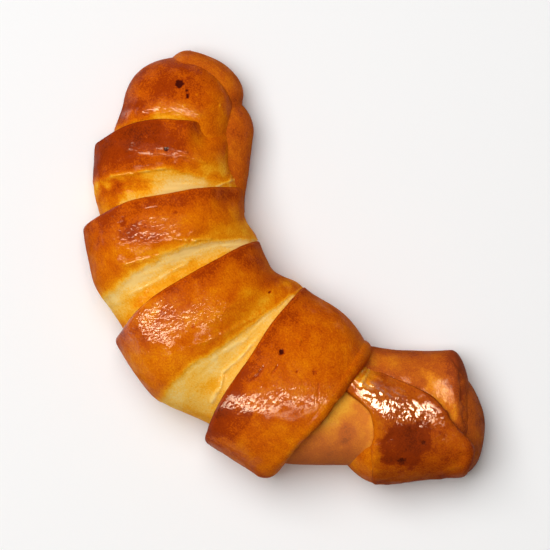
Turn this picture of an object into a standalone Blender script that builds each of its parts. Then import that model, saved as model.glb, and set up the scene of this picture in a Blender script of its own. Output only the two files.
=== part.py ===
"""Apple crescent roll: a glazed milk-dough crescent, wound from one strip of dough whose
turns overlap like scales. It lies on its flat, baked underside.

Frame: metres, +Z up. The chord between the two tips runs along X, the convex side faces -Y,
and the origin is under the middle of the roll, on the surface that it rests on.

Every turn of the strip is a closed barrel round the roll's bent centreline. Its leading edge
is a rolled lip, a blunt dome or is tucked away inside the turn before it. One Boolean union
makes a single solid of all the turns, and a slab then levels the underside.
"""

from collections import namedtuple

import bmesh
import bpy
import numpy as np

MM = 0.001

# --- The bent centreline -------------------------------------------------------------------
ROLL_LENGTH = 204.0  # mm along the centreline, from tip to tip
FIRST_HEADING = -49.1  # degrees from +X at the coiled tip
FULL_TURN = 103.5  # degrees turned from one tip to the other
BEND_FROM = 8.0  # mm along the centreline where the bend begins
BEND_TO = 199.0  # mm along the centreline where it ends
PATH_STEPS = 800
PATH_SPARE = 30.0  # mm of straight path past each tip, so that no turn runs off it

# --- The cross-section ---------------------------------------------------------------------
WIDEST_AT = 0.42  # height of the widest line, as a share of the turn's height
SIDE_FULLNESS = 0.86  # below 1 the sides stand fuller than an ellipse's
CROWN_FULLNESS = 0.94
UNDERSIDE_FULLNESS = 0.45  # the underside is almost flat
SINK = 0.9  # mm that a turn's underside reaches below the resting plane before it is levelled
LEVELLING_SLAB = 9.0  # mm thick

# --- How finely a turn is faceted ----------------------------------------------------------
AROUND = 44
LIP_STEPS = 6
DOME_STEPS = 7
BODY_STEPS = 8
CREASE = 40.0  # degrees between faces past which an edge is shaded sharp

# --- Finish --------------------------------------------------------------------------------
CRUST_COLOUR = (0.56, 0.19, 0.02, 1.0)
CRUST_ROUGHNESS = 0.32

# An edge of a turn is given by its places along the centreline, in mm, at five stations across
# the roll: on the convex side, half way up it, on the crown, half way down to the concave side
# and on the concave side.
STATIONS = (-1.0, -0.5, 0.0, 0.5, 1.0)
CROWN = 2

# The half widths of a cross-section on the convex and concave sides, and its height, in mm.
Size = namedtuple("Size", "convex concave height")

# How a turn ends: `reach` is how far its rounded end takes along the roll, in mm, and `depth`
# is how far down it goes, as a share of the section: 1 for a dome that closes the roll.
End = namedtuple("End", "reach depth")
DOME = 1.0
TUCKED = End(2.0, 0.25)
LIP = End(1.8, 0.15)

# A turn goes from its leading size to its tail's between two shares of its width. VALLEY drops
# to a level trough, and SHOULDER rounds off ever faster towards the tail.
Fall = namedtuple("Fall", "start end form")
VALLEY = "valley"
SHOULDER = "shoulder"
EVEN = Fall(0.0, 1.0, VALLEY)
SHOULDER_POWER = 4.5

# On the concave side a lip melts into the turn before it: its section is lower there by the
# share `depth`, more and more from the station `start` on, and is whole again behind the edge.
Melt = namedtuple("Melt", "depth start")
MELT_SPAN = 0.4  # of the way across, over which the lip goes down
MELT_REACH = 15.0  # mm behind the edge where the section is whole again
WHOLE = Melt(0.0, 1.0)

Turn = namedtuple("Turn", "name lead lead_size lead_end tail tail_size tail_end fall melt")

TURNS = (
    Turn("coil_tip", (-2,) * 5, Size(8, 21.5, 23), End(13, DOME),
         (38,) * 5, Size(13, 22, 23), TUCKED, EVEN, WHOLE),
    Turn("coil_flank", (7,) * 5, Size(12, 27.5, 24), End(16, DOME),
         (60,) * 5, Size(16, 26, 26), TUCKED, Fall(0.4, 1.0, VALLEY), WHOLE),
    Turn("cap", (1,) * 5, Size(19.5, 20, 30), End(19, DOME),
         (38, 34, 33, 34, 38), Size(22, 20.5, 28), TUCKED, EVEN, WHOLE),
    Turn("turn_1", (33.5, 26.6, 23.2, 22.5, 24), Size(26.8, 21, 33.5), LIP,
         (66, 60, 58, 56, 55), Size(24.4, 24.8, 29), TUCKED, Fall(0.35, 0.8, VALLEY),
         Melt(0.2, 0.15)),
    Turn("turn_2", (57, 51.8, 49, 46.8, 46.5), Size(30.8, 25.6, 38), LIP,
         (95, 90, 88, 84, 82), Size(27.2, 28.4, 33), TUCKED, Fall(0.35, 0.8, VALLEY),
         Melt(0.2, 0.5)),
    Turn("turn_3", (86.8, 81.8, 79, 76.2, 74), Size(31.2, 28.8, 41), LIP,
         (129, 126, 124, 121, 120), Size(24.8, 33.2, 35), TUCKED, Fall(0.35, 0.82, VALLEY),
         WHOLE),
    Turn("turn_4", (120, 117.4, 116, 113.5, 113), Size(30.6, 33.8, 42), LIP,
         (140.5, 144, 150.5, 156, 161), Size(32, 25, 40), End(4, 0.28),
         Fall(0.0, 1.0, SHOULDER), WHOLE),
    Turn("bulge", (132,) * 5, Size(25, 18, 35), TUCKED,
         (167,) * 5, Size(18.5, 12, 33), TUCKED, EVEN, WHOLE),
    Turn("turn_5_corner", (152.5,) * 5, Size(24.4, 12, 32.5), End(17.5, DOME),
         (180,) * 5, Size(21.5, 10, 27), TUCKED, EVEN, WHOLE),
    Turn("turn_5", (166.5, 165.5, 164, 147, 142), Size(24.6, 20, 36), LIP,
         (198, 199.5, 191.3, 182.5, 156), Size(22, 18.5, 31), End(3.5, 0.28), EVEN, WHOLE),
    Turn("end_fold", (150,) * 5, Size(16, 23.4, 28), TUCKED,
         (200,) * 5, Size(16, 23, 27), End(7, DOME), EVEN, WHOLE),
    Turn("end_coil", (160,) * 5, Size(18, 18, 25), TUCKED,
         (205, 205, 204, 203, 201), Size(21.5, 19.5, 24), End(12, DOME), EVEN, WHOLE),
)


def smooth(share):
    """0 to 1 with level ends."""
    share = np.clip(share, 0.0, 1.0)
    return share * share * (3.0 - 2.0 * share)


def heading(along):
    """The centreline's direction in radians, at distances along it: one long smooth bend."""
    share = (along - BEND_FROM) / (BEND_TO - BEND_FROM)
    return np.radians(FIRST_HEADING + FULL_TURN * smooth(share))


def centreline():
    """Distances along the centreline and the points there, found by adding up short steps."""
    along = np.linspace(-PATH_SPARE, ROLL_LENGTH + PATH_SPARE, PATH_STEPS)
    step = along[1] - along[0]
    middle = heading((along[1:] + along[:-1]) / 2.0)
    x = np.concatenate([[0.0], np.cumsum(np.cos(middle) * step)])
    y = np.concatenate([[0.0], np.cumsum(np.sin(middle) * step)])
    return along, np.stack([x, y], axis=1)


ALONG, PATH = centreline()


def edge_place(edge, x):
    """Where an edge lies along the centreline, for x from -1, convex, to 1, concave: a smooth
    curve through its places at the five stations, with Catmull-Rom slopes."""
    places = np.array(edge, float)
    step = STATIONS[1] - STATIONS[0]
    slopes = np.gradient(places)
    cell = np.clip(((x - STATIONS[0]) / step).astype(int), 0, len(places) - 2)
    t = (x - STATIONS[0]) / step - cell
    start, end = places[cell], places[cell + 1]
    return (
        start
        + (end - start) * smooth(t)
        + slopes[cell] * t * (1.0 - t) ** 2
        - slopes[cell + 1] * t**2 * (1.0 - t)
    )


def fallen_share(fall, share):
    """How far a turn has gone from its leading size to its tail's."""
    t = np.clip((share - fall.start) / (fall.end - fall.start), 0.0, 1.0)
    return smooth(t) if fall.form == VALLEY else t**SHOULDER_POWER


def end_profile(end):
    """A rounded end, from the centreline outwards: the distance behind the edge, in mm, and
    the scale of the section there. A dome is a quarter of an ellipse. A lip is half of one,
    from its hidden lower side round the nose to its upper side."""
    if end.depth >= DOME:
        angle = np.linspace(0.0, np.pi / 2.0, DOME_STEPS)
        return end.reach * (1.0 - np.cos(angle)), np.sin(angle)
    angle = np.linspace(0.0, np.pi, LIP_STEPS)
    behind = end.reach * (1.0 - np.sin(angle))
    scale = 1.0 - end.depth / 2.0 * (1.0 + np.cos(angle))
    return np.concatenate([[end.reach], behind]), np.concatenate([[0.0], scale])


def profile(turn):
    """The whole of a turn, from its leading end to its tail: how much each ring follows the
    tail and not the leading edge, its distance behind its own edge, and its scale."""
    lead_behind, lead_scale = end_profile(turn.lead_end)
    tail_behind, tail_scale = end_profile(turn.tail_end)
    body = np.linspace(0.0, 1.0, BODY_STEPS + 2)[1:-1]
    share = np.concatenate([np.zeros(len(lead_behind)), body, np.ones(len(tail_behind))])
    behind = np.concatenate([
        lead_behind,
        turn.lead_end.reach * (1.0 - body) - turn.tail_end.reach * body,
        -tail_behind[::-1],
    ])
    scale = np.concatenate([lead_scale, np.ones(BODY_STEPS), tail_scale[::-1]])
    return share, behind, scale


def turn_points(turn):
    """A turn's rings of points, as an array of rings by points by x, y and z, in mm.

    A ring is a flattened superellipse across the centreline. Its half widths and height go
    smoothly from the leading size to the tail's, and its place along the centreline from the
    leading edge to the tail's edge, each of which is a curve across the roll."""
    share, behind, scale = (a[:, None] for a in profile(turn))
    angle = np.linspace(0.0, 2.0 * np.pi, AROUND, endpoint=False)[None, :]
    x = np.cos(angle)
    up = np.sin(angle)
    fallen = fallen_share(turn.fall, share)
    size = [a + (b - a) * fallen for a, b in zip(turn.lead_size, turn.tail_size)]
    convex, concave, height = size

    lead = edge_place(turn.lead, x)
    tail = edge_place(turn.tail, x)
    rim = np.minimum(1.0, scale / (1.0 - TUCKED.depth))  # an edge straightens at its pole
    lead = turn.lead[CROWN] + (lead - turn.lead[CROWN]) * rim
    tail = turn.tail[CROWN] + (tail - turn.tail[CROWN]) * rim
    along = lead + (tail - lead) * share + behind

    melted = smooth((x - turn.melt.start) / MELT_SPAN) * (1.0 - smooth((along - lead) / MELT_REACH))
    half_width = np.where(x > 0.0, concave, convex)
    across = scale * half_width * np.sign(x) * np.abs(x) ** SIDE_FULLNESS
    middle = WIDEST_AT * height
    crown = height * (1.0 - turn.melt.depth * melted) - middle
    above = scale * crown * np.abs(up) ** CROWN_FULLNESS
    below = scale * (middle + SINK) * np.abs(up) ** UNDERSIDE_FULLNESS
    z = middle + np.where(up > 0.0, above, -below)

    direction = heading(along)
    px = np.interp(along, ALONG, PATH[:, 0]) - across * np.sin(direction)
    py = np.interp(along, ALONG, PATH[:, 1]) + across * np.cos(direction)
    return np.stack([px, py, z * np.ones_like(px)], axis=-1)


def barrel(name, rings, centre):
    """A closed mesh object: the rings joined by quads, with a fan to one point at each end."""
    count = len(rings) - 2
    points = np.concatenate([rings[:1, 0], rings[1:-1].reshape(-1, 3), rings[-1:, 0]])
    points[:, :2] -= centre
    last = len(points) - 1
    faces = []
    for j in range(AROUND):
        k = (j + 1) % AROUND
        faces.append((0, 1 + k, 1 + j))
        for i in range(count - 1):
            row = 1 + i * AROUND
            faces.append((row + j, row + k, row + AROUND + k, row + AROUND + j))
        row = 1 + (count - 1) * AROUND
        faces.append((row + j, row + k, last))
    mesh = bpy.data.meshes.new(name)
    mesh.from_pydata((points * MM).tolist(), [], faces)
    mesh.update()
    made = bpy.data.objects.new(name, mesh)
    bpy.context.scene.collection.objects.link(made)
    return made


def apply_modifier(obj, modifier):
    """Makes the modifier's result the object's own mesh."""
    graph = bpy.context.evaluated_depsgraph_get()
    result = bpy.data.meshes.new_from_object(obj.evaluated_get(graph))
    obj.modifiers.remove(modifier)
    before = obj.data
    obj.data = result
    bpy.data.meshes.remove(before)


def join_turns(roll, others):
    """One solid of all the turns."""
    turns = bpy.data.collections.new("turns")
    bpy.context.scene.collection.children.link(turns)
    for turn in others:
        bpy.context.scene.collection.objects.unlink(turn)
        turns.objects.link(turn)
    union = roll.modifiers.new("join the turns", "BOOLEAN")
    union.operation = "UNION"
    union.operand_type = "COLLECTION"
    union.collection = turns
    union.solver = "EXACT"
    apply_modifier(roll, union)
    for turn in others:
        bpy.data.objects.remove(turn)
    bpy.data.collections.remove(turns)


def slab_below(centre_to_edge, thickness):
    """A box whose top is the resting plane, in mm."""
    reach = centre_to_edge * MM
    low = -thickness * MM
    corners = [(x, y, z) for z in (low, 0.0) for y in (-reach, reach) for x in (-reach, reach)]
    sides = [(0, 2, 3, 1), (4, 5, 7, 6), (0, 1, 5, 4), (2, 6, 7, 3), (0, 4, 6, 2), (1, 3, 7, 5)]
    mesh = bpy.data.meshes.new("slab")
    mesh.from_pydata(corners, [], sides)
    slab = bpy.data.objects.new("slab", mesh)
    bpy.context.scene.collection.objects.link(slab)
    return slab


def level_underside(roll):
    """Cuts the underside flat where it lay on the baking tray."""
    slab = slab_below(ROLL_LENGTH, LEVELLING_SLAB)
    cut = roll.modifiers.new("level the underside", "BOOLEAN")
    cut.operation = "DIFFERENCE"
    cut.object = slab
    cut.solver = "EXACT"
    apply_modifier(roll, cut)
    bpy.data.objects.remove(slab)


def fill_sealed_hollows(roll):
    """Leaves only the outer skin. A sliver of air that the union sealed in is an island of
    faces of its own, and once that is dropped the dough is solid there."""
    mesh = bmesh.new()
    mesh.from_mesh(roll.data)
    left = set(mesh.verts)
    islands = []
    while left:
        front = {next(iter(left))}
        island = set(front)
        while front:
            front = {edge.other_vert(vert) for vert in front for edge in vert.link_edges} - island
            island |= front
        left -= island
        islands.append(island)
    skin = max(islands, key=len)
    spare = [vert for vert in mesh.verts if vert not in skin]
    bmesh.ops.delete(mesh, geom=spare, context="VERTS")
    mesh.to_mesh(roll.data)
    mesh.free()


def crust_material():
    """Egg-washed, well-browned crust."""
    material = bpy.data.materials.new("glazed_crust")
    material.use_nodes = True
    shader = material.node_tree.nodes["Principled BSDF"]
    shader.inputs["Base Color"].default_value = CRUST_COLOUR
    shader.inputs["Roughness"].default_value = CRUST_ROUGHNESS
    shader.inputs["Metallic"].default_value = 0.0
    return material


def main():
    for old in list(bpy.data.objects):
        bpy.data.objects.remove(old)
    shapes = [turn_points(turn) for turn in TURNS]
    everything = np.concatenate([shape.reshape(-1, 3) for shape in shapes])
    centre = (everything.min(axis=0) + everything.max(axis=0))[:2] / 2.0
    turns = [barrel(turn.name, rings, centre) for turn, rings in zip(TURNS, shapes)]
    roll = turns[0]
    join_turns(roll, turns[1:])
    level_underside(roll)
    fill_sealed_hollows(roll)
    roll.name = "crescent_roll"
    roll.data.name = "crescent_roll"
    roll.data.materials.clear()
    roll.data.materials.append(crust_material())
    roll.data.shade_smooth()
    roll.data.set_sharp_from_angle(angle=np.radians(CREASE))


main()
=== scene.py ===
"""Looks of the apple crescent roll: browned, egg-washed crust on every turn of the dough.

Each turn is a closed shell, a surface of two parameters on a fine grid: how far along the
turn, and the angle round it. The shells have the same form as the solid that they stand for,
with the skin's own relief on top, and pass into each other where the real turns are fused.
"""

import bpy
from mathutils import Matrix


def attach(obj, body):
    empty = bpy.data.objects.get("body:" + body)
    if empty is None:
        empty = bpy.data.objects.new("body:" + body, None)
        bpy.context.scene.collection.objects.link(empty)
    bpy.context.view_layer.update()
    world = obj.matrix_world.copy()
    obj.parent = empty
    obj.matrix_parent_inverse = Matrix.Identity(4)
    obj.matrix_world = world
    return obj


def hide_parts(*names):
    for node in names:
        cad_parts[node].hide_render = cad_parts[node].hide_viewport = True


bl_info = {
    "name": "Apple crescent roll",
    "version": (1, 0, 0),
    "blender": (4, 5, 0),
    "location": "3D View > Sidebar > Crescent",
    "description": "Builds the glazed crust of a crescent roll and a plain stage for it",
    "category": "Object",
}

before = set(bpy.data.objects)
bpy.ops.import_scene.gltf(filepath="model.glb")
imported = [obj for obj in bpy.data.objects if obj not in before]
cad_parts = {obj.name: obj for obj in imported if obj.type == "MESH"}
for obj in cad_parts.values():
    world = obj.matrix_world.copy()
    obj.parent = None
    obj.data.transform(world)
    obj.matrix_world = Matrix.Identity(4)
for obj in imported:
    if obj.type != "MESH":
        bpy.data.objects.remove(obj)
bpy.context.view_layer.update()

import math
from collections import namedtuple
from itertools import product, starmap

import bpy
import numpy as np
from bpy.props import FloatProperty, FloatVectorProperty, PointerProperty
from mathutils import Matrix, Vector

MM = 0.001
NODE = "crescent_roll"
BODY = "root"

# --- The bent centreline, as in the solid ---
ROLL_LENGTH = 204.0  # mm along the centreline, from tip to tip
FIRST_HEADING = -49.1  # degrees from +X at the coiled tip
FULL_TURN = 103.5  # degrees turned from one tip to the other
BEND_FROM = 8.0
BEND_TO = 199.0
PATH_STEPS = 800
PATH_SPARE = 30.0

# --- The cross-section, as in the solid ---
WIDEST_AT = 0.42  # height of the widest line, as a share of the turn's height
SIDE_FULLNESS = 0.86
CROWN_FULLNESS = 0.94
UNDERSIDE_FULLNESS = 0.45
SINK = 0.9  # mm
SHOULDER_POWER = 4.5

# An edge is given by its places along the centreline, in mm, at five stations across the roll,
# from the convex side over the crown to the concave side.
STATIONS = (-1.0, -0.5, 0.0, 0.5, 1.0)
CROWN = 2

Size = namedtuple("Size", "convex concave height")
End = namedtuple("End", "reach depth")
DOME = 1.0
TUCKED = End(2.0, 0.25)
LIP = End(1.8, 0.15)
Fall = namedtuple("Fall", "start end form")
VALLEY = "valley"
SHOULDER = "shoulder"
EVEN = Fall(0.0, 1.0, VALLEY)

# On the concave side a lip melts into the turn before it: its section is lower there by the
# share `depth`, more and more from the station `start` on.
Melt = namedtuple("Melt", "depth start")
MELT_SPAN = 0.4
MELT_REACH = 15.0
WHOLE = Melt(0.0, 1.0)

Turn = namedtuple("Turn", "name lead lead_size lead_end tail tail_size tail_end fall melt",
                  defaults=(EVEN, WHOLE))

TURNS = {turn.name: turn for turn in (
    Turn("coil_tip", (-2,) * 5, Size(8, 21.5, 23), End(13, DOME),
         (38,) * 5, Size(13, 22, 23), TUCKED),
    Turn("coil_flank", (7,) * 5, Size(12, 27.5, 24), End(16, DOME),
         (60,) * 5, Size(16, 26, 26), TUCKED, Fall(0.4, 1.0, VALLEY)),
    Turn("cap", (1,) * 5, Size(19.5, 20, 30), End(19, DOME),
         (38, 34, 33, 34, 38), Size(22, 20.5, 28), TUCKED),
    Turn("turn_1", (33.5, 26.6, 23.2, 22.5, 24), Size(26.8, 21, 33.5), LIP,
         (66, 60, 58, 56, 55), Size(24.4, 24.8, 29), TUCKED, Fall(0.35, 0.8, VALLEY),
         Melt(0.2, 0.15)),
    Turn("turn_2", (57, 51.8, 49, 46.8, 46.5), Size(30.8, 25.6, 38), LIP,
         (95, 90, 88, 84, 82), Size(27.2, 28.4, 33), TUCKED, Fall(0.35, 0.8, VALLEY),
         Melt(0.2, 0.5)),
    Turn("turn_3", (86.8, 81.8, 79, 76.2, 74), Size(31.2, 28.8, 41), LIP,
         (129, 126, 124, 121, 120), Size(24.8, 33.2, 35), TUCKED, Fall(0.35, 0.82, VALLEY)),
    Turn("turn_4", (120, 117.4, 116, 113.5, 113), Size(30.6, 33.8, 42), LIP,
         (140.5, 144, 150.5, 156, 161), Size(32, 25, 40), End(4, 0.28),
         Fall(0.0, 1.0, SHOULDER)),
    Turn("bulge", (132,) * 5, Size(25, 18, 35), TUCKED,
         (167,) * 5, Size(18.5, 12, 33), TUCKED),
    Turn("turn_5_corner", (152.5,) * 5, Size(24.4, 12, 32.5), End(17.5, DOME),
         (180,) * 5, Size(21.5, 10, 27), TUCKED),
    Turn("turn_5", (166.5, 165.5, 164, 147, 142), Size(24.6, 20, 36), LIP,
         (198, 199.5, 191.3, 182.5, 156), Size(22, 18.5, 31), End(3.5, 0.28)),
    Turn("end_fold", (150,) * 5, Size(16, 23.4, 28), TUCKED,
         (200,) * 5, Size(16, 23, 27), End(7, DOME)),
    Turn("end_coil", (160,) * 5, Size(18, 18, 25), TUCKED,
         (205, 205, 204, 203, 201), Size(21.5, 19.5, 24), End(12, DOME)),
)}

# --- The skin's relief, in mm ---
BROAD_SWELLS = ((0.4, 24.0), (0.2, 11.0))  # height and width
FINE_SWELLS = ((0.07, 4.5), (0.02, 1.7))
TAIL_RIM = 5.0  # before a turn's tail, where its fine relief fades
CRINKLE_HEIGHT = 0.1  # of the glaze's fine wrinkles
VALLEY_BORDER = 3.6  # over which the crust gives way to stretched dough
VALLEY_WIDTH = 8.0  # from that border to the inner one of the valley's two colours
VALLEY_DROP = 0.35  # that the stretched dough lies lower
BORDER_RIDGE = 0.15  # height of the ridge along the border
BORDER_RIDGE_REACH = 0.7
STRETCH_MARKS = 0.08  # height of the fine lines that run round the roll in a valley
MARKS_FROM = 5.0  # above the resting plane, where patches, lines and pits begin
MARKS_FADE = 4.0

# --- How fine the grids are ---
LIP_STEPS = 16
DOME_STEPS = 40
MAIN_GRID = (185, 400)  # steps along a turn, and points round it
SIDE_GRID = (130, 300)
UNDERSIDE_SHARE = 0.2  # the flat underside's length counts this much when points are shared out
UNDERSIDE_TOP = 0.6  # mm above the resting plane

# --- What each turn's skin looks like ---
# `browning` gives the skin's browning from its own lip, 0, to the next lip or its tail, 1, as
# pairs. `gloss` is how much egg wash lies on it, `dry` how matt and floury it is,
# `deep` how much darker at the same hue it is painted, as shade where the light falls
# off, and `grain` the length along and round the roll, in mm, of the glaze's crinkles.
# `next_lip` is where the next turn begins to cover this one, `valley` where the stretched, pale
# dough begins, and `pale` the browning there, at its border and further in.
ROUND_GRAIN = (1.8, 3.4)
LONG_GRAIN = (3.6, 1.7)
Skin = namedtuple("Skin", "browning gloss dry deep grain next_lip valley pale",
                  defaults=(0.0, 0.0, 0.0, ROUND_GRAIN, None, None, (0.0, 0.0)))
STEEP = 0.8  # a side whose normal points up less than this is steep
STEEP_SHADE = 0.26  # painted shade: how much darker a steep side is painted, at the same hue

SKINS = {
    "coil_tip": Skin(((0.0, 0.74),), gloss=0.12, dry=0.05),
    "coil_flank": Skin(((0.0, 0.76),), gloss=0.1, dry=0.05),
    "cap": Skin(((0.0, 0.8), (0.3, 0.82), (0.65, 0.86), (0.8, 0.74), (0.9, 0.6)), gloss=0.08,
                next_lip=TURNS["turn_1"].lead, valley=(29, 24.5, 20.6, 27, 34), pale=(0.47, 0.35)),
    "turn_1": Skin(((0.0, 0.8), (0.04, 0.95), (0.35, 0.98), (0.5, 0.87), (0.62, 0.74), (0.72, 0.55)),
                   gloss=0.06, next_lip=TURNS["turn_2"].lead,
                   valley=(45.3, 43.1, 40.4, 43.5, 46.8), pale=(0.34, 0.02)),
    "turn_2": Skin(((0.0, 0.74), (0.03, 0.86), (0.1, 0.86), (0.2, 0.76), (0.35, 0.67), (0.55, 0.66),
                    (0.66, 0.5)), gloss=0.05, grain=(1.9, 2.1), next_lip=TURNS["turn_3"].lead,
                   valley=(76.7, 73, 69.5, 69.5, 73.5), pale=(-0.04, 0.35)),
    "turn_3": Skin(((0.0, 0.78), (0.03, 0.9), (0.07, 0.86), (0.13, 0.76), (0.3, 0.68), (0.5, 0.65),
                    (0.64, 0.68), (0.74, 0.55)), gloss=0.08, next_lip=TURNS["turn_4"].lead,
                   valley=(105.6, 104.3, 106.5, 109, 113), pale=(0.07, 0.24)),
    "turn_4": Skin(((0.0, 0.8), (0.04, 0.88), (0.12, 0.8), (0.3, 0.73), (0.8, 0.72), (1.0, 0.7)),
                   gloss=0.1, grain=(2.2, 2.6)),
    "bulge": Skin(((0.0, 0.63),), gloss=0.02, dry=0.32),
    # The far end's turns below carry painted shade: darker at the same hue, where less light falls.
    "turn_5_corner": Skin(((0.0, 0.62), (0.45, 0.66), (0.75, 0.75), (1.0, 0.77)), gloss=0.04,
                          deep=0.14, grain=LONG_GRAIN),
    "turn_5": Skin(((0.0, 0.68), (0.15, 0.75), (0.5, 0.8), (0.9, 0.8), (1.0, 0.84)), gloss=0.04,
                   deep=0.23, grain=LONG_GRAIN),
    "end_fold": Skin(((0.0, 0.76), (0.8, 0.78), (0.95, 0.86), (1.0, 0.8)), dry=0.08, deep=0.14),
    "end_coil": Skin(((0.0, 0.8), (1.0, 0.82)), gloss=0.04, dry=0.14, deep=0.2),
}

# Patches of the skin, by turn: the middle's place along and across the roll, the half length
# along and the half width across, in mm, how far along it leans for each mm across, how sharp
# its edge is, 0 to 1, and what it adds to the browning, the gloss, the crinkles and the height.
Patch = namedtuple("Patch", "along across long wide lean sharp brown gloss crinkle height",
                   defaults=(0, 0, 0))
PATCHES = {
    "cap": (
        (9, -3, 7, 12, -0.25, 0.3, 0.05), (18.6, -2, 2, 12, 0.0, 0.2, -0.05, 0.5, 0.9),
        (23, 15, 13, 6, 1.1, 0.2, -0.08), (23, -14, 4, 7, -0.4, 0.2, 0.14),
        (24, 15, 5, 6, 0, 0.2, 0.14),
    ),
    "turn_1": (
        (31, 16, 9, 9, 0, 0.3, -0.24), (28, 6, 4, 7, 0, 0.2, -0.06),
        (28.5, -11, 5, 7, 0, 0.3, 0.12), (34, -18, 6, 8, -0.5, 0.3, 0.08),
        (34.4, -5, 1.8, 14, 0.06, 0.6, 0, 0.65, 1.0), (40, -6, 2.4, 12, 0, 0.4, 0, -0.4),
        (48, -15, 4, 9, -0.2, 0.2, 0.22), (51, -21.5, 4, 5.5, -0.3, 0.3, 0.44),
        (46, -8, 4, 8, 0, 0.2, 0.1), (45.5, 6, 3, 7, 0, 0.2, -0.1),
        (50, -10, 1.2, 2, 0, 0.4, 0.12),
    ),
    "turn_2": (
        (61, -22, 8, 7, -0.6, 0.2, 0.02), (60, 20, 9, 7, 0.2, 0.2, -0.02),
        (61.5, -8, 4.6, 14, 0, 0.4, -0.02, 0.75, 1.0), (55, 22, 3.5, 2.6, 0, 0.7, -0.06),
        (62, -10, 4, 8, 0.2, 0.3, 0.2), (66.5, -8, 2.4, 14, 0.1, 0.4, -0.06, -0.4),
        (57, -20, 6, 4, 0, 0.3, 0, 0.25, 0.8), (80, -18, 2.5, 5, 0.2, 0.3, 0.1),
    ),
    "turn_3": (
        (84, -16, 3, 6, -0.2, 0.3, -0.26), (89, 25, 12, 7, 1.9, 0.3, 0.08),
        (99, 18, 5, 6, 0.4, 0.3, -0.1), (117, 32, 7, 3, 2, 0.3, 0.14),
        (88.5, -15, 6, 14, 0.15, 0.3, 0.05, 0.85, 1.0), (99, 4, 5, 14, 0.4, 0.2, -0.08),
        (93, 4, 6, 6, 0.2, 0.3, 0, 0.3, 1.0), (90, -29, 9, 5, 0, 0.2, -0.08),
        (99.5, -10, 3, 6, 0.2, 0.3, 0, -0.4), (99, -15, 5, 9, 0.2, 0.2, -0.05),
    ),
    "turn_4": (
        (122.5, -20, 5.5, 7.5, 0.3, 0.8, 0.16), (140, -19, 5, 8, 0.6, 0.2, -0.06),
        (119, -11, 3, 12, 0, 0.4, 0.08), (127, -8, 5, 10, 0.9, 0.4, 0, 0.8, 0.8),
        (140, 2, 8, 6, 1, 0.3, 0, 0.6, 0.8), (150, -8, 6, 20, 0.5, 0.2, 0, -0.5),
    ),
    "bulge": (
        # The first patch, paler on the bulge's top where turn 4 shades it, is partly the dough's own
        # tan and partly painted light against that shadow.
        (152, 1, 5, 8, 0.4, 0.2, -0.24), (157, -8, 2.6, 4, 0, 0.1, 0.16),
        (153, -20, 14, 7, 0, 0.1, 0.14), (157, -11, 1.6, 1.6, 0, 0.2, 0.08),
    ),
    "turn_5": (
        (160, 13, 5, 4, 0, 0.2, -0.24), (176.5, -9.5, 8.5, 7.5, 0.2, 0.8, 0.26, -0.3),
        (165, -10, 4, 9, -0.2, 0.3, -0.08, -0.2), (168, 6, 9, 4.5, -0.8, 0.4, -0.08, 1.0, 1.0),
        (180, 0.5, 8, 4, 0, 0.4, -0.04, 0.85, 1.0), (172, 1.5, 6, 5, -0.5, 0.3, 0, 0.5, 1.0),
        (174, 11, 7, 4, -0.5, 0.2, -0.08), (180, -15, 12, 12, 0, 0.0, 0, -0.2, 0, -0.9),
    ),
    "end_fold": (
        (194, 17, 3, 6, 0, 0.4, 0.1), (188.5, 7, 4.5, 8, -0.5, 0.7, -0.2),
        (190.5, 8, 3.5, 6, -0.5, 0.3, 0, 0.16, 1.0), (166, 19, 8, 2, 0, 0.3, -0.1),
    ),
}

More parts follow.
